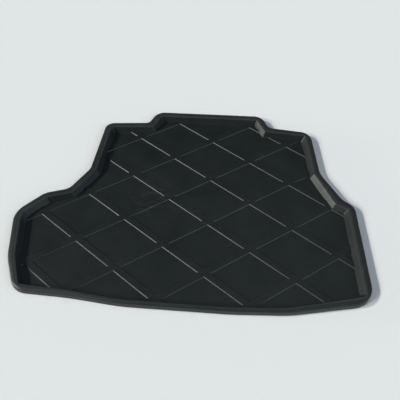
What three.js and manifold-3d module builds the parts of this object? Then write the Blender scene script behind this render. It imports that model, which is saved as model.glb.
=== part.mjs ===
// Car boot liner: one sheet of black plastic, formed into a shallow tray with a rolled lip.
// Raised bands cross on its floor in a diamond pattern, and the sheet is hollow under each band.
// Millimetres. +X is to the right seen from behind the car, +Y points to the rear seats, +Z is up.
// The origin is the middle of the liner's plan, on the surface that it lies on.

import * as THREE from "three";
import { mergeVertices } from "three/addons/utils/BufferGeometryUtils.js";
import Module from "manifold-3d";

const wasm = await Module();
wasm.setup();

// Sheet
const sheet = 2.2;

// Section from the floor to the trimmed edge
const rimHeight = 30;
const wallRun = 13;
const crownRise = 1;
const crownShare = 0.4;
const lipFall = 3.5;
const skirtLean = 3;
const skirtClear = 6;

// Bends of the section
const footRound = 3;
const rimRound = 3;
const crownRound = 40;
const shoulderRound = 7;
const bendSteps = [2, 2, 2, 3];

// Diamond pattern of raised bands
const diamondWidth = 340;
const diamondDepth = 237.4;
const bandWidth = 31;
const bandHeight = 3;
const bandSlope = 3;
const crossing = new THREE.Vector2(79, 117);

// Plan of the wall's top edge, measured from a datum point near the middle of the floor.
// The arch walls run beside the wheel arches, and a bay lies behind each arch.
const leftArchWall = 424;
const rightArchWall = 528;
const leftArchBend = 103;
const rightArchBend = 153;
const leftBayDepth = 250;
const rightBayDepth = 133;
const bayEnd = 34;
const bumperWall = 500;
const bumperLeft = 211;
const bumperRight = 179;
const seatWall = 483;
const seatStepDepth = 88;
const seatStepLeft = 213;
const seatStepRight = 282;

// Widths of the lip
const bumperLip = 17;
const sideLip = 31;
const shoulderLip = 34;
const seatLip = 37;

// Roundings of the plan's corners
const crisp = 5;
const eased = 8;
const tight = 45;
const even = 60;
const wide = 90;
const bowed = 1500;
const cornerSteps = 6;

// Lines that several corners share
const leftReach = leftArchWall + leftBayDepth;
const rightReach = rightArchWall + rightBayDepth;
const shoulder = seatWall - seatStepDepth;

// Corners of the wall's top edge, counter-clockwise from the front left.
// Each has its place, the rounding of its wall, the width of its lip and the rounding of the lip.
const corners = [
  corner(-leftReach + 90, -bumperWall + 33, crisp, sideLip - 5, 75),
  corner(-leftArchWall + 23, -bumperWall + 22, bowed, bumperLip + 3, bowed),
  corner(-bumperLeft, -bumperWall, 1000, bumperLip, 1000),
  corner(bumperRight, -bumperWall, bowed, bumperLip, bowed),
  corner(rightArchWall - 144, -bumperWall + 13, 500, bumperLip + 2, 500),
  corner(rightReach, -bumperWall + 79, 12, sideLip, wide),
  corner(rightReach - 12, -bayEnd, crisp, sideLip + 5, even),
  corner(rightArchWall + 74, -bayEnd + 26, crisp, sideLip + 13, wide),
  corner(rightArchWall, rightArchBend, eased, sideLip, 120),
  corner(rightArchWall - 22, shoulder - 5, crisp, shoulderLip, even),
  corner(seatStepRight + 38, shoulder + 12, crisp, seatLip - 1, tight),
  corner(seatStepRight, seatWall, crisp, seatLip, even),
  corner(-seatStepLeft + 32, seatWall - 9, crisp, seatLip, even + 5),
  corner(-seatStepLeft, shoulder, crisp, seatLip, 30),
  corner(-leftArchWall + 15, shoulder - 15, crisp, shoulderLip, tight),
  corner(-leftArchWall, leftArchBend, eased, sideLip, even + 10),
  corner(-leftArchWall - 72, -bayEnd, crisp, sideLip + 1, even),
  corner(-leftReach + 80, -bayEnd - 32, eased, sideLip, wide),
  corner(-leftReach, -bayEnd - 124, 62, sideLip + 2, wide + 5),
  corner(-leftReach + 38, -bumperWall + 150, 150, sideLip, 250),
];

function corner(x, y, wallRound, lip, lipRound) {
  return { at: new THREE.Vector2(x, y), wallRound, lip, lipRound };
}

// Values that follow from the sizes above
const wallRise = rimHeight - crownRise - sheet;
const wallAngle = Math.atan2(wallRise, wallRun);
const bandAngle = Math.atan2(diamondDepth, diamondWidth);
const slopeAngle = Math.atan2(bandHeight, bandSlope);
const sink = sheet / 2;

// Outward unit normal of the step from one point to the next, on a counter-clockwise path
function outwardNormal(from, to) {
  const step = to.clone().sub(from).normalize();
  return new THREE.Vector2(step.y, -step.x);
}

// Direction in which a corner moves when both of its sides move out by one unit
function mitre(before, at, after) {
  const first = outwardNormal(before, at);
  const second = outwardNormal(at, after);
  return first.clone().add(second).divideScalar(1 + first.dot(second));
}

// Points of the arc that rounds a corner, kept within half of the shorter side
function roundCorner(before, at, after, radius, steps) {
  const back = before.clone().sub(at);
  const ahead = after.clone().sub(at);
  const room = 0.49 * Math.min(back.length(), ahead.length());
  back.normalize();
  ahead.normalize();
  const halfAngle = Math.acos(THREE.MathUtils.clamp(back.dot(ahead), -1, 1)) / 2;
  const reach = Math.min(radius / Math.tan(halfAngle), room);
  const towardsCentre = back.clone().add(ahead).normalize();
  const centre = at.clone().addScaledVector(towardsCentre, reach / Math.cos(halfAngle));
  const start = at.clone().addScaledVector(back, reach);
  const sweep = Math.sign(back.cross(ahead)) * -(Math.PI - 2 * halfAngle);
  const points = [];
  for (let step = 0; step <= steps; step += 1) {
    points.push(start.clone().rotateAround(centre, (sweep * step) / steps));
  }
  return points;
}

// Upper and lower face of the sheet across the wall and the lip.
// In each point x is the distance out from the wall's top edge and y is the height.
function sheetSection(lip) {
  const path = [
    new THREE.Vector2(-wallRun - 3 * footRound, sheet),
    new THREE.Vector2(-wallRun, sheet),
    new THREE.Vector2(0, rimHeight - crownRise),
    new THREE.Vector2(lip * crownShare, rimHeight),
    new THREE.Vector2(lip - skirtLean, rimHeight - lipFall),
    new THREE.Vector2(lip, skirtClear),
  ];
  const rounds = [footRound, rimRound, crownRound, shoulderRound];
  const upper = [path[0]];
  rounds.forEach((radius, index) => {
    const [before, at, after] = path.slice(index, index + 3);
    upper.push(...roundCorner(before, at, after, radius, bendSteps[index]));
  });
  upper.push(path[path.length - 1]);
  const lower = upper.map((point, index) => lowerPoint(upper, index));
  return { upper: upper.slice(1), lower: lower.slice(1) };
}

// Point of the lower face that lies one sheet thickness under a point of the upper face
function lowerPoint(upper, index) {
  const at = upper[index];
  if (index === 0) {
    return at.clone().addScaledVector(outwardNormal(at, upper[1]), sheet);
  }
  if (index === upper.length - 1) {
    return at.clone().addScaledVector(outwardNormal(upper[index - 1], at), sheet);
  }
  return at.clone().addScaledVector(mitre(upper[index - 1], at, upper[index + 1]), sheet);
}

// Closed ring of points round the plan, where each corner has its own distance out and height
function planRing(placeAt) {
  const count = corners.length;
  const places = corners.map(placeAt);
  const pushed = corners.map(({ at }, index) => {
    const before = corners[(index + count - 1) % count].at;
    const after = corners[(index + 1) % count].at;
    return at.clone().addScaledVector(mitre(before, at, after), places[index].x);
  });
  return corners.flatMap(({ wallRound, lip, lipRound }, index) => {
    const share = THREE.MathUtils.clamp(places[index].x / lip, 0, 1);
    const radius = THREE.MathUtils.lerp(wallRound, lipRound, share);
    const before = pushed[(index + count - 1) % count];
    const after = pushed[(index + 1) % count];
    const arc = roundCorner(before, pushed[index], after, radius, cornerSteps);
    return arc.map((point) => new THREE.Vector3(point.x, point.y, places[index].y));
  });
}

// Closed surface through rings of equal length, with its first ring capped above and its last below
function skin(rings) {
  const count = rings[0].length;
  const indices = [];
  for (let ring = 0; ring + 1 < rings.length; ring += 1) {
    for (let point = 0; point < count; point += 1) {
      const next = (point + 1) % count;
      const here = ring * count;
      const there = here + count;
      indices.push(here + point, there + point, there + next);
      indices.push(here + point, there + next, here + next);
    }
  }
  capFaces(rings[0]).forEach(([a, b, c]) => indices.push(a, b, c));
  const last = (rings.length - 1) * count;
  capFaces(rings[rings.length - 1]).forEach(([a, b, c]) => indices.push(last + c, last + b, last + a));
  const geometry = new THREE.BufferGeometry().setFromPoints(rings.flat());
  geometry.setIndex(indices);
  return geometry;
}

function capFaces(ring) {
  const contour = ring.map((point) => new THREE.Vector2(point.x, point.y));
  return THREE.ShapeUtils.triangulateShape(contour, []);
}

// Wall, lip and skirt round a plain floor, all of one sheet
function plainTray() {
  const sections = corners.map(({ lip }) => sheetSection(lip));
  const levels = sections[0].upper.map((point, level) => level);
  const upperRings = levels.map((level) => planRing((at, index) => sections[index].upper[level]));
  const lowerRings = levels.map((level) => planRing((at, index) => sections[index].lower[level]));
  return skin([...upperRings, ...lowerRings.reverse()]);
}

// Space inside the middle of the wall's thickness, from within the floor to just over the bands
function bandRoom() {
  const halfWall = sink / Math.sin(wallAngle);
  const outAt = (height) => halfWall - wallRun + (height - sheet) / Math.tan(wallAngle);
  const low = sheet - sink;
  const high = sheet + bandHeight + sink;
  return skin([high, low].map((height) => planRing(() => new THREE.Vector2(outAt(height), height))));
}

// Upright block under the wall's top edge, from below the floor to the top of the hollows
function hollowRoom() {
  return skin([bandHeight + sink, -2 * sink].map((height) => planRing(() => new THREE.Vector2(0, height))));
}

// One straight bar with sloping sides, widest at its low side
function bar(topWidth, low, high, through, angle, length) {
  const halfTop = topWidth / 2;
  const halfLow = halfTop + (high - low) / Math.tan(slopeAngle);
  const section = new THREE.Shape([
    new THREE.Vector2(-halfLow, low),
    new THREE.Vector2(halfLow, low),
    new THREE.Vector2(halfTop, high),
    new THREE.Vector2(-halfTop, high),
  ]);
  const geometry = new THREE.ExtrudeGeometry(section, { depth: length, bevelEnabled: false });
  const along = new THREE.Vector3(Math.cos(angle), Math.sin(angle), 0);
  const up = new THREE.Vector3(0, 0, 1);
  const across = up.clone().cross(along);
  const start = new THREE.Vector3(through.x, through.y, 0).addScaledVector(along, -length / 2);
  return geometry.applyMatrix4(new THREE.Matrix4().makeBasis(across, up, along).setPosition(start));
}

// Both families of crossing bars, over the whole plan
function lattice(topWidth, low, high) {
  const box = new THREE.Box2().setFromPoints(corners.map(({ at }) => at));
  const size = box.getSize(new THREE.Vector2());
  const length = 2 * size.length();
  const reach = Math.ceil(size.x / diamondWidth + size.y / diamondDepth);
  const bars = [];
  for (let step = -reach; step <= reach; step += 1) {
    const through = new THREE.Vector2(crossing.x + step * diamondWidth, crossing.y);
    bars.push(toSolid(bar(topWidth, low, high, through, bandAngle, length)));
    bars.push(toSolid(bar(topWidth, low, high, through, -bandAngle, length)));
  }
  return bars.reduce((joined, next) => joined.add(next));
}

function toSolid(geometry) {
  geometry.deleteAttribute("normal");
  geometry.deleteAttribute("uv");
  const merged = mergeVertices(geometry);
  const vertProperties = new Float32Array(merged.getAttribute("position").array);
  const triVerts = new Uint32Array(merged.getIndex().array);
  return new wasm.Manifold(new wasm.Mesh({ numProp: 3, vertProperties, triVerts }));
}

function fromSolid(solid) {
  const { vertProperties, triVerts } = solid.getMesh();
  const geometry = new THREE.BufferGeometry();
  geometry.setAttribute("position", new THREE.BufferAttribute(vertProperties, 3));
  geometry.setIndex(new THREE.BufferAttribute(triVerts, 1));
  geometry.computeVertexNormals();
  return geometry;
}

// Tray with its bands raised from the floor and the same bands hollow beneath
function formedTray() {
  const bandTop = bandWidth - 2 * bandSlope;
  const hollowTop = bandTop - 2 * sheet * Math.tan(slopeAngle / 2);
  const bands = lattice(bandTop, sheet - sink, sheet + bandHeight).intersect(toSolid(bandRoom()));
  const hollows = lattice(hollowTop, -sink, bandHeight).intersect(toSolid(hollowRoom()));
  return fromSolid(toSolid(plainTray()).add(bands).subtract(hollows));
}

// The plan's middle is moved to the origin
function centreOnPlan(geometry) {
  geometry.computeBoundingBox();
  const middle = geometry.boundingBox.getCenter(new THREE.Vector3());
  return geometry.translate(-middle.x, -middle.y, 0);
}

const blackPlastic = new THREE.MeshStandardMaterial({ color: 0x1c1f20, roughness: 0.5, metalness: 0 });
const tray = new THREE.Mesh(centreOnPlan(formedTray()), blackPlastic);
tray.name = "liner_tray";

const liner = new THREE.Group();
liner.add(tray);

export default liner;
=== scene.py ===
# Looks of the car boot liner: one formed sheet of black plastic on a pale studio floor.
# Metres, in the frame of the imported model. Sizes named in mm are multiplied by MM where they are used.
import math

import bmesh
import bpy
from mathutils import Matrix, Vector


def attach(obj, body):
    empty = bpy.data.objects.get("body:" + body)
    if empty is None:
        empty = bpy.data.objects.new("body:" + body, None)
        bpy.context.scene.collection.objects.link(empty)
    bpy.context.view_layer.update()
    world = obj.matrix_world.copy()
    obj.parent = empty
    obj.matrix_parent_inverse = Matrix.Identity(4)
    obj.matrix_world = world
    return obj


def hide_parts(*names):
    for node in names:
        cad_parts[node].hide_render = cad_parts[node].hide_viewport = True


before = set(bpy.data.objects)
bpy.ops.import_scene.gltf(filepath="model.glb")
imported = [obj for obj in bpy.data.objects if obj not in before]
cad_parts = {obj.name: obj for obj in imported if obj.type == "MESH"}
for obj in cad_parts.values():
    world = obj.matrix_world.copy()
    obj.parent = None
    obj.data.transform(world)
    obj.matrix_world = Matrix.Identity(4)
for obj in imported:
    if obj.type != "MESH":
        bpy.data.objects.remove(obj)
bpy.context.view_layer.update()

MM = 0.001

# Sheet and its section, mm
SHEET = 2.2
RIM_HEIGHT = 30
WALL_RUN = 13
CROWN_RISE = 1
CROWN_SHARE = 0.4
LIP_FALL = 3.5
SKIRT_LEAN = 3
SKIRT_CLEAR = 6
# Radius and steps of the four bends: wall's foot, wall's top edge, crown of the lip, shoulder
BENDS = [(3, 5), (3, 6), (40, 6), (7, 9)]
FOOT_ROUND = BENDS[0][0]
TRIM_ROUND = 0.5
TRIM_STEPS = 2

# Bands, mm; each rounding is a radius and its steps
DIAMOND_WIDTH = 340
DIAMOND_DEPTH = 237.4
BAND_WIDTH = 31
BAND_HEIGHT = 3
BAND_SLOPE = 3
BAND_TOP_ROUND = (2.2, 4)
BAND_FOOT_ROUND = (1.8, 3)
HOLLOW_ROUND = (1, 2)
# A band's foot starts this far under the floor, so that the two surfaces cross and don't just touch
FOOT_DIP = 0.02
CROSSING = Vector((79, 117))

# Plan of the wall's top edge, mm: place, rounding of the wall, width of the lip, rounding of the lip
CORNERS = [
    (-584, -467, 5, 26, 75),
    (-401, -478, 1500, 20, 1500),
    (-211, -500, 1000, 17, 1000),
    (179, -500, 1500, 17, 1500),
    (384, -487, 500, 19, 500),
    (661, -421, 12, 31, 90),
    (649, -34, 5, 36, 60),
    (602, -8, 5, 44, 90),
    (528, 153, 8, 31, 120),
    (506, 390, 5, 34, 60),
    (320, 407, 5, 36, 45),
    (282, 483, 5, 37, 60),
    (-181, 474, 5, 37, 65),
    (-213, 395, 5, 37, 30),
    (-409, 380, 5, 34, 45),
    (-424, 103, 8, 31, 70),
    (-496, -34, 5, 32, 60),
    (-594, -66, 8, 31, 90),
    (-674, -158, 62, 33, 95),
    (-636, -350, 150, 31, 250),
]
CORNER_STEPS = 14
CORNER_ROOM = 0.49
SIDE_STEP = 30

# Clean-up of the joined mesh: distance that merges points, mm, angle of a crease, degrees, and how much
# large faces steer the shading of their edges, where 50 is neutral
MERGE = 0.002
CREASE = 28
FACE_WEIGHT = 80

# Plastic: linear colours, roughness from its smoothest to its roughest blotches, and shares mixed in
CLEAN_COLOUR = (0.0048, 0.0078, 0.0074, 1)
# The second, lighter colour is mixed in for dust, for scuffs and for the painted highlight on the rim
SCUFF_DUST_AND_HIGHLIGHT_COLOUR = (0.056, 0.060, 0.058, 1)
ROUGHNESS = (0.42, 0.50)
SCUFF_AND_HIGHLIGHT_ROUGHNESS = 0.08
IOR = 1.5
DUST_SHARE = 0.09
SCUFF_AND_HIGHLIGHT_SHARE = 0.5
# Clouds of noise: scale, detail, roughness, and the values between which they set in
PATCHES = (3.1, 2.0, 0.5, 0.50, 0.68)
BLOTCHES = (9.0, 4.0, 0.6, 0.3, 0.7)
DUST = (6.0, 5.0, 0.62, 0.35, 0.65)
# The next cloud breaks the painted highlight on the rim into patches, down to the least share it leaves
HIGHLIGHT_PATCHES = (38.0, 3.0, 0.5, 0.3, 0.7)
HIGHLIGHT_PATCHES_LEAST = 0.5
# Streaks: scale, detail and roughness of their noise
STREAKS = (1.0, 3.0, 0.6)
# Scratches on the floor: turn in degrees and coarseness across; they are much longer than wide
SCRATCHES = [(24, 9), (-58, 7), (83, 8)]
SCRATCH_STRETCH = 45
SCRATCH_RANGE = (0.66, 0.76)
# Smudge where the photo shows one, m: place, and distances over which it fades
SMUDGE_AT = (-0.155, -0.01, 0.0)
SMUDGE_FADE = (0.05, 0.15)
SMUDGE_TURN = -25
SMUDGE_SCALE = (18, 60, 1)
SMUDGE_RANGE = (0.50, 0.70)
SMUDGE_SHARE = 0.55
# Painted highlight on the rim, on the lip's crown and along the wall's top edge: heights over which it sets
# in, m, how far the surface leans inwards, and shares
CROWN_HEIGHTS = (0.0281, 0.0294)
RIDGE_HEIGHTS = (0.0270, 0.0284)
RIDGE_LEAN = (-0.008, -0.03)
CROWN_HIGHLIGHT = 0.25
RIDGE_HIGHLIGHT = 0.7
# Bumps: strength, height in m, scale, detail and roughness of the noise
WAVE = (0.12, 0.0006, 14.0, 2.0, 0.5)
GRAIN = (0.12, 0.0001, 900.0, 2.0, 0.6)

# Studio floor
FLOOR_HALF = 30
FLOOR_COLOUR = (0.86, 0.86, 0.86, 1)
FLOOR_ROUGHNESS = 0.9
FLOOR_SPECULAR = 0.1

# Lamps: name, azimuth, elevation and width in degrees, energy, colour
LAMPS = [
    ("key", 187, 33, 3, 1.9, (1.0, 1.0, 0.96)),
    ("low_left", 180, 3, 9, 1.25, (1.0, 0.99, 0.90)),
    ("front_left", 208, 27, 12, 1.7, (0.97, 1.0, 0.90)),
]
# Pale band at the horizon: heights between which it fades, brightness below and above
HORIZON = (0.15, 0.30, 0.68, 0.0)
# Share of the band left towards the photo's camera: y of the direction there and further round, shares
NEAR_SIDE = (-1.0, -0.8, 0.35, 1.0)
# Patches of sky: azimuth and elevation in degrees, sharpness, colour
SKY = [
    (327, 31, 30, (3.5, 4.0, 4.4)),
    (0, 12, 8, (0.05, 0.22, 0.42)),
    (0, 90, 8, (0.44, 0.46, 0.46)),
    (36, 46, 10, (0.26, 0.28, 0.30)),
    (174, 48, 8, (0.08, 0.12, 0.26)),
]

# Camera of the photo: mm, share of the frame, metres and unit vectors
SENSOR = 36
LENS = 39.6
SHIFT_X = 0.0075
CAMERA_AT = (0.1046, -1.1699, 1.4575)
CAMERA_RIGHT = Vector((0.9972719, 0.0732733, 0.0089317))
CAMERA_DOWN = Vector((0.0628731, -0.7797976, -0.6228665))
CAMERA_AHEAD = Vector((-0.0386745, 0.6217288, -0.7822772))

WALL_ANGLE = math.atan2(RIM_HEIGHT - CROWN_RISE - SHEET, WALL_RUN)
BAND_ANGLE = math.atan2(DIAMOND_DEPTH, DIAMOND_WIDTH)
SLOPE_ANGLE = math.atan2(BAND_HEIGHT, BAND_SLOPE)
SINK = SHEET / 2


def outward(start, end):
    step = (end - start).normalized()
    return Vector((step.y, -step.x))


def mitre(before, at, after):
    first, second = outward(before, at), outward(at, after)
    return (first + second) / (1 + first.dot(second))


def round_corner(before, at, after, radius, steps):
    """Points of the arc that rounds a corner, kept within half of the shorter side."""
    back, ahead = before - at, after - at
    room = CORNER_ROOM * min(back.length, ahead.length)
    back.normalize()
    ahead.normalize()
    half = math.acos(max(-1.0, min(1.0, back.dot(ahead)))) / 2
    reach = min(radius / math.tan(half), room)
    centre = at + (back + ahead).normalized() * (reach / math.cos(half))
    arm = at + back * reach - centre
    turn = back.x * ahead.y - back.y * ahead.x
    sweep = -math.copysign(math.pi - 2 * half, turn)
    return [centre + Matrix.Rotation(sweep * k / steps, 2) @ arm for k in range(steps + 1)]


def sheet_section(lip):
    """Closed section of wall, lip and skirt: x is the distance out from the wall's top edge, y the height."""
    path = [
        Vector((-WALL_RUN - 3 * FOOT_ROUND, SHEET)),
        Vector((-WALL_RUN, SHEET)),
        Vector((0, RIM_HEIGHT - CROWN_RISE)),
        Vector((lip * CROWN_SHARE, RIM_HEIGHT)),
        Vector((lip - SKIRT_LEAN, RIM_HEIGHT - LIP_FALL)),
        Vector((lip, SKIRT_CLEAR)),
    ]
    upper = [path[0]]
    for index, (radius, steps) in enumerate(BENDS):
        upper += round_corner(*path[index:index + 3], radius, steps)
    upper.append(path[-1])
    lower = []
    for index, at in enumerate(upper):
        if index == 0:
            shift = outward(at, upper[1])
        elif index == len(upper) - 1:
            shift = outward(upper[index - 1], at)
        else:
            shift = mitre(upper[index - 1], at, upper[index + 1])
        lower.append(at + shift * SHEET)
    edge = round_corner(upper[-2], upper[-1], lower[-1], TRIM_ROUND, TRIM_STEPS)
    edge += round_corner(upper[-1], lower[-1], lower[-2], TRIM_ROUND, TRIM_STEPS)
    return upper[1:-1] + edge + lower[-2:0:-1]


def plan_ring(place_at):
    """Ring of points round the plan, where each corner has its own distance out and height."""
    count = len(CORNERS)
    spots = [Vector(corner[:2]) for corner in CORNERS]
    places = [place_at(index) for index in range(count)]
    pushed = []
    for index, at in enumerate(spots):
        shift = mitre(spots[index - 1], at, spots[(index + 1) % count])
        pushed.append(at + shift * places[index].x)
    arcs = []
    for index, (_, _, wall_round, lip, lip_round) in enumerate(CORNERS):
        share = max(0.0, min(1.0, places[index].x / lip))
        radius = wall_round + (lip_round - wall_round) * share
        after = pushed[(index + 1) % count]
        arcs.append(round_corner(pushed[index - 1], pushed[index], after, radius, CORNER_STEPS))
    ring = []
    for index, arc in enumerate(arcs):
        following = (index + 1) % count
        ring += [Vector((point.x, point.y, places[index].y)) for point in arc]
        start = ring[-1]
        end = Vector((arcs[following][0].x, arcs[following][0].y, places[following].y))
        steps = max(1, round((spots[following] - spots[index]).length / SIDE_STEP))
        ring += [start.lerp(end, step / steps) for step in range(1, steps)]
    return ring


def add_object(name, data):
    made = bpy.data.objects.new(name, data)
    bpy.context.scene.collection.objects.link(made)
    return made


def add_mesh(name, points, faces):
    mesh = bpy.data.meshes.new(name)
    mesh.from_pydata(points, [], faces)
    return add_object(name, mesh)


def skin(name, rings):
    """Closed mesh through rings of equal length, capped at its first ring and at its last."""
    count = len(rings[0])
    faces = [list(range(count))]
    for ring in range(len(rings) - 1):
        for point in range(count):
            here, following = ring * count + point, ring * count + (point + 1) % count
            faces.append([here, here + count, following + count, following])
    faces.append([(len(rings) - 1) * count + point for point in reversed(range(count))])
    return add_mesh(name, [point * MM for ring in rings for point in ring], faces)


def bars(name, angle, top_width, low, base, high, foot_round, top_round):
    """One family of straight bars with sloping sides and rounded edges, over the whole plan."""
    half_top = top_width / 2
    half_base = half_top + (high - base) / math.tan(SLOPE_ANGLE)
    foot, crest = Vector((half_base, base)), Vector((half_top, high))
    side = round_corner(foot + Vector((BAND_HEIGHT, 0)), foot, crest, *foot_round)
    side += round_corner(foot, crest, Vector((0, high)), *top_round)
    side[0] = side[0] - Vector((0, FOOT_DIP))
    half = [Vector((side[0].x, low))] + side
    profile = half + [Vector((-point.x, point.y)) for point in reversed(half)]
    xs, ys = [corner[0] for corner in CORNERS], [corner[1] for corner in CORNERS]
    width, depth = max(xs) - min(xs), max(ys) - min(ys)
    reach = math.ceil(width / DIAMOND_WIDTH + depth / DIAMOND_DEPTH)
    along = Vector((math.cos(angle), math.sin(angle), 0)) * math.hypot(width, depth)
    across = Vector((0, 0, 1)).cross(along).normalized()
    points, faces = [], []
    size = len(profile)
    for step in range(-reach, reach + 1):
        through = Vector((CROSSING.x + step * DIAMOND_WIDTH, CROSSING.y, 0))
        first = len(points)
        for end in (-1, 1):
            middle = through + along * end
            points += [(middle + across * p.x + Vector((0, 0, p.y))) * MM for p in profile]
        faces.append([first + k for k in reversed(range(size))])
        faces.append([first + size + k for k in range(size)])
        for k in range(size):
            following = (k + 1) % size
            faces.append([first + k, first + following, first + size + following, first + size + k])
    return add_mesh(name, points, faces)


def combine(base, other, operation):
    """Joins, trims or cuts one closed mesh with another, which is then removed."""
    cut = base.modifiers.new("combine", "BOOLEAN")
    cut.operation, cut.solver, cut.object = operation, "MANIFOLD", other
    graph = bpy.context.evaluated_depsgraph_get()
    mesh = bpy.data.meshes.new_from_object(base.evaluated_get(graph))
    base.modifiers.clear()
    base.data = mesh
    bpy.data.objects.remove(other)
    return base


def lattice(name, *shape):
    first = bars(name, BAND_ANGLE, *shape)
    second = bars(name + "_b", -BAND_ANGLE, *shape)
    return combine(first, second, "UNION")


def level_ring(out, height):
    return plan_ring(lambda index: Vector((out, height)))


def formed_tray():
    """The sheet with bands joined on top, and the same bands, narrower by the sheet, cut from beneath."""
    sections = [sheet_section(corner[3]) for corner in CORNERS]
    rings = [plan_ring(lambda index: sections[index][level]) for level in range(len(sections[0]))]
    tray = skin("liner_sheet", rings)
    half_wall = SINK / math.sin(WALL_ANGLE)
    low, high = SHEET - SINK, SHEET + BAND_HEIGHT + SINK
    room_rings = [
        level_ring(half_wall - WALL_RUN + (height - SHEET) / math.tan(WALL_ANGLE), height)
        for height in (high, low)
    ]
    band_top = BAND_WIDTH - 2 * BAND_SLOPE
    bands = lattice("bands", band_top, low, SHEET, SHEET + BAND_HEIGHT, BAND_FOOT_ROUND, BAND_TOP_ROUND)
    combine(bands, skin("band_room", room_rings), "INTERSECT")
    combine(tray, bands, "UNION")
    hollow_top = band_top - 2 * SHEET * math.tan(SLOPE_ANGLE / 2)
    hollows = lattice("hollows", hollow_top, -SINK, 0, BAND_HEIGHT, HOLLOW_ROUND, HOLLOW_ROUND)
    room = skin("hollow_room", [level_ring(0, height) for height in (BAND_HEIGHT + SINK, -2 * SINK)])
    combine(hollows, room, "INTERSECT")
    combine(tray, hollows, "DIFFERENCE")
    return tray


def finish_mesh(tray):
    """Moves the plan's middle to the origin, merges points that meet and shades smoothly between creases."""
    form = bmesh.new()
    form.from_mesh(tray.data)
    xs, ys = [v.co.x for v in form.verts], [v.co.y for v in form.verts]
    middle = Vector(((min(xs) + max(xs)) / 2, (min(ys) + max(ys)) / 2, 0))
    bmesh.ops.translate(form, verts=form.verts, vec=-middle)
    bmesh.ops.remove_doubles(form, verts=form.verts, dist=MERGE * MM)
    bmesh.ops.dissolve_degenerate(form, edges=form.edges, dist=MERGE * MM)
    form.to_mesh(tray.data)
    form.free()
    tray.data.shade_smooth()
    tray.data.set_sharp_from_angle(angle=math.radians(CREASE))
    weighted = tray.modifiers.new("flat_shading", "WEIGHTED_NORMAL")
    weighted.keep_sharp = True
    weighted.weight = FACE_WEIGHT


class Graph:
    """Short calls that add nodes to one node tree."""

    def __init__(self, tree):
        self.nodes, self.links = tree.nodes, tree.links

    def fill(self, socket, value):
        """Plugs an output into a socket, or sets the socket's own value."""
        if isinstance(value, bpy.types.NodeSocket):
            self.links.new(value, socket)
        else:
            socket.default_value = value

    def node(self, kind, inputs=(), **values):
        made = self.nodes.new(kind)
        for name, value in values.items():
            setattr(made, name, value)
        for key, value in dict(inputs).items():
            self.fill(made.inputs[key], value)
        return made

    def maths(self, kind, *values):
        return self.node("ShaderNodeMath", enumerate(values), operation=kind).outputs[0]

    def vector(self, kind, *values):
        made = self.node("ShaderNodeVectorMath", enumerate(values), operation=kind)
        return made.outputs["Value" if kind in ("DOT_PRODUCT", "DISTANCE") else "Vector"]

    def remap(self, value, low, high, to_low, to_high, **values):
        inputs = {"Value": value, "From Min": low, "From Max": high, "To Min": to_low, "To Max": to_high}
        return self.node("ShaderNodeMapRange", inputs, **values).outputs["Result"]

    def noise(self, place, scale, detail, roughness):
        inputs = {"Vector": place, "Scale": scale, "Detail": detail, "Roughness": roughness}
        return self.node("ShaderNodeTexNoise", inputs).outputs["Fac"]

    def cloud(self, place, look, least=0.0, most=1.0):
        """Noise that fades in between two of its values."""
        *shape, start, end = look
        return self.remap(self.noise(place, *shape), start, end, least, most)

    def streaks(self, place, turn, scale):
        """Noise drawn out along one direction of the floor."""
        inputs = {"Vector": place, "Rotation": (0, 0, math.radians(turn)), "Scale": scale}
        return self.noise(self.node("ShaderNodeMapping", inputs).outputs["Vector"], *STREAKS)

    def bump(self, place, strength, distance, scale, detail, roughness):
        height = self.noise(place, scale, detail, roughness)
        return self.node("ShaderNodeBump", {"Strength": strength, "Distance": distance, "Height": height})


def floor_scuffs(graph, place):
    """Patches of fine scratches, and a smudge of short streaks."""
    patches = graph.cloud(place, PATCHES)
    lines = 0.0
    for turn, spread in SCRATCHES:
        streaks = graph.streaks(place, turn, (spread, spread * SCRATCH_STRETCH, 1))
        lines = graph.maths("MAXIMUM", graph.remap(streaks, *SCRATCH_RANGE, 0.0, 1.0), lines)
    near = graph.remap(graph.vector("DISTANCE", place, SMUDGE_AT), *SMUDGE_FADE, 1.0, 0.0)
    streaks = graph.streaks(place, SMUDGE_TURN, SMUDGE_SCALE)
    smears = graph.remap(streaks, *SMUDGE_RANGE, 0.0, SMUDGE_SHARE)
    return graph.maths("ADD", graph.maths("MULTIPLY", patches, lines), graph.maths("MULTIPLY", near, smears))


def rim_painted_highlight(graph, place):
    """Painted highlight on the lip's crown and, stronger, along the edge where the wall meets it, broken into
    patches by noise.
    """
    height = graph.node("ShaderNodeSeparateXYZ", {0: place}).outputs["Z"]
    # Painted highlight where the lip's crown stands highest
    crown = graph.maths("MULTIPLY", graph.remap(height, *CROWN_HEIGHTS, 0.0, 1.0), CROWN_HIGHLIGHT)
    normal = graph.node("ShaderNodeNewGeometry").outputs["Normal"]
    lean = graph.vector("DOT_PRODUCT", graph.vector("MULTIPLY", place, (1, 1, 0)), normal)
    facing_in = graph.remap(lean, *RIDGE_LEAN, 0.0, 1.0)
    # Painted highlight line along the wall's top edge, where the surface leans inwards
    ridge = graph.maths("MULTIPLY", graph.remap(height, *RIDGE_HEIGHTS, 0.0, 1.0), facing_in)
    painted_light = graph.maths("ADD", crown, graph.maths("MULTIPLY", ridge, RIDGE_HIGHLIGHT))
    return graph.maths("MULTIPLY", graph.cloud(place, HIGHLIGHT_PATCHES, HIGHLIGHT_PATCHES_LEAST), painted_light)


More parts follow.
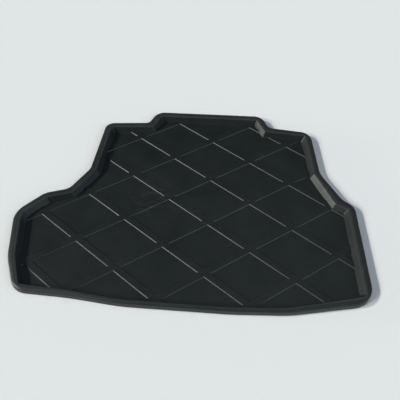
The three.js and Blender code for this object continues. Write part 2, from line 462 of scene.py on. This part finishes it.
def plastic():
    """Black moulded plastic with a fine grain, a thin uneven film of dust, scuffs on the floor, and a painted
    highlight on the rim.
    """
    material = bpy.data.materials.new("black_plastic_grained")
    material.use_nodes = True
    graph = Graph(material.node_tree)
    graph.nodes.clear()
    place = graph.node("ShaderNodeTexCoord").outputs["Object"]
    # Real scuffs on the floor, added to the painted highlight on the rim's crown and top edge
    scuffs_and_highlight = graph.maths("ADD", floor_scuffs(graph, place), rim_painted_highlight(graph, place))

    dust = graph.cloud(place, DUST, 0.0, DUST_SHARE)
    share = graph.maths("ADD", graph.maths("MULTIPLY", scuffs_and_highlight, SCUFF_AND_HIGHLIGHT_SHARE), dust)
    colour = graph.node("ShaderNodeMix", data_type="RGBA")
    factor, clean, lighter = colour.inputs[0], colour.inputs[6], colour.inputs[7]
    graph.fill(factor, share)
    graph.fill(clean, CLEAN_COLOUR)
    graph.fill(lighter, SCUFF_DUST_AND_HIGHLIGHT_COLOUR)

    blotches = graph.cloud(place, BLOTCHES, *ROUGHNESS)
    # Roughness rises a little on the scuffs and on the painted highlight
    rough = graph.maths("ADD", blotches, graph.maths("MULTIPLY", scuffs_and_highlight, SCUFF_AND_HIGHLIGHT_ROUGHNESS))

    wave, grain = graph.bump(place, *WAVE), graph.bump(place, *GRAIN)
    graph.fill(grain.inputs["Normal"], wave.outputs["Normal"])
    shader = graph.node("ShaderNodeBsdfPrincipled", {
        "Base Color": colour.outputs[2],
        "Metallic": 0.0,
        "Roughness": rough,
        "IOR": IOR,
        "Normal": grain.outputs["Normal"],
    })
    graph.node("ShaderNodeOutputMaterial", {"Surface": shader.outputs["BSDF"]})
    return material


def pale_floor():
    """Wide pale ground under the tray, which isn't part of it."""
    half = FLOOR_HALF
    corners = [(-half, -half, 0), (half, -half, 0), (half, half, 0), (-half, half, 0)]
    floor = add_mesh("studio_floor", corners, [(0, 1, 2, 3)])
    material = bpy.data.materials.new("studio_floor")
    material.use_nodes = True
    shader = material.node_tree.nodes["Principled BSDF"]
    shader.inputs["Base Color"].default_value = FLOOR_COLOUR
    shader.inputs["Roughness"].default_value = FLOOR_ROUGHNESS
    shader.inputs["Specular IOR Level"].default_value = FLOOR_SPECULAR
    floor.data.materials.append(material)


def direction(azimuth, elevation):
    """Unit vector towards a place in the sky: azimuth from +X towards +Y, elevation from the floor."""
    turn, lift = math.radians(azimuth), math.radians(elevation)
    return Vector((math.cos(lift) * math.cos(turn), math.cos(lift) * math.sin(turn), math.sin(lift)))


def studio_light():
    """A crisp key and two softer lamps from the left, and a sky with a pale horizon and broad patches."""
    for name, azimuth, elevation, width, energy, colour in LAMPS:
        lamp = bpy.data.lights.new(name, "SUN")
        lamp.energy, lamp.angle, lamp.color = energy, math.radians(width), colour
        held = add_object(name, lamp)
        held.rotation_mode = "QUATERNION"
        held.rotation_quaternion = direction(azimuth, elevation).to_track_quat("Z", "Y")
    world = bpy.data.worlds.new("studio")
    bpy.context.scene.world = world
    world.use_nodes = True
    graph = Graph(world.node_tree)
    sky = graph.node("ShaderNodeTexCoord").outputs["Generated"]
    split = graph.node("ShaderNodeSeparateXYZ", {0: sky})
    band = graph.remap(split.outputs["Z"], *HORIZON, interpolation_type="SMOOTHSTEP")
    total = graph.maths("MULTIPLY", band, graph.remap(split.outputs["Y"], *NEAR_SIDE))
    for azimuth, elevation, sharpness, colour in SKY:
        facing = graph.vector("DOT_PRODUCT", sky, direction(azimuth, elevation))
        patch = graph.maths("POWER", graph.maths("MAXIMUM", facing, 0.0), sharpness)
        total = graph.vector("MULTIPLY_ADD", patch, colour, total)
    background = graph.nodes["Background"]
    graph.fill(background.inputs["Color"], total)
    background.inputs["Strength"].default_value = 1.0


def photo_camera():
    data = bpy.data.cameras.new("camera")
    data.sensor_width, data.lens, data.shift_x = SENSOR, LENS, SHIFT_X
    camera = add_object("camera", data)
    turn = Matrix((CAMERA_RIGHT, -CAMERA_DOWN, -CAMERA_AHEAD)).transposed().to_4x4()
    camera.matrix_world = Matrix.Translation(CAMERA_AT) @ turn
    bpy.context.scene.camera = camera


bpy.context.scene.view_settings.view_transform = "Standard"
photo_camera()
pale_floor()
studio_light()

tray = formed_tray()
finish_mesh(tray)
tray.data.materials.clear()
tray.data.materials.append(plastic())
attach(tray, "root")
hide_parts("liner_tray")
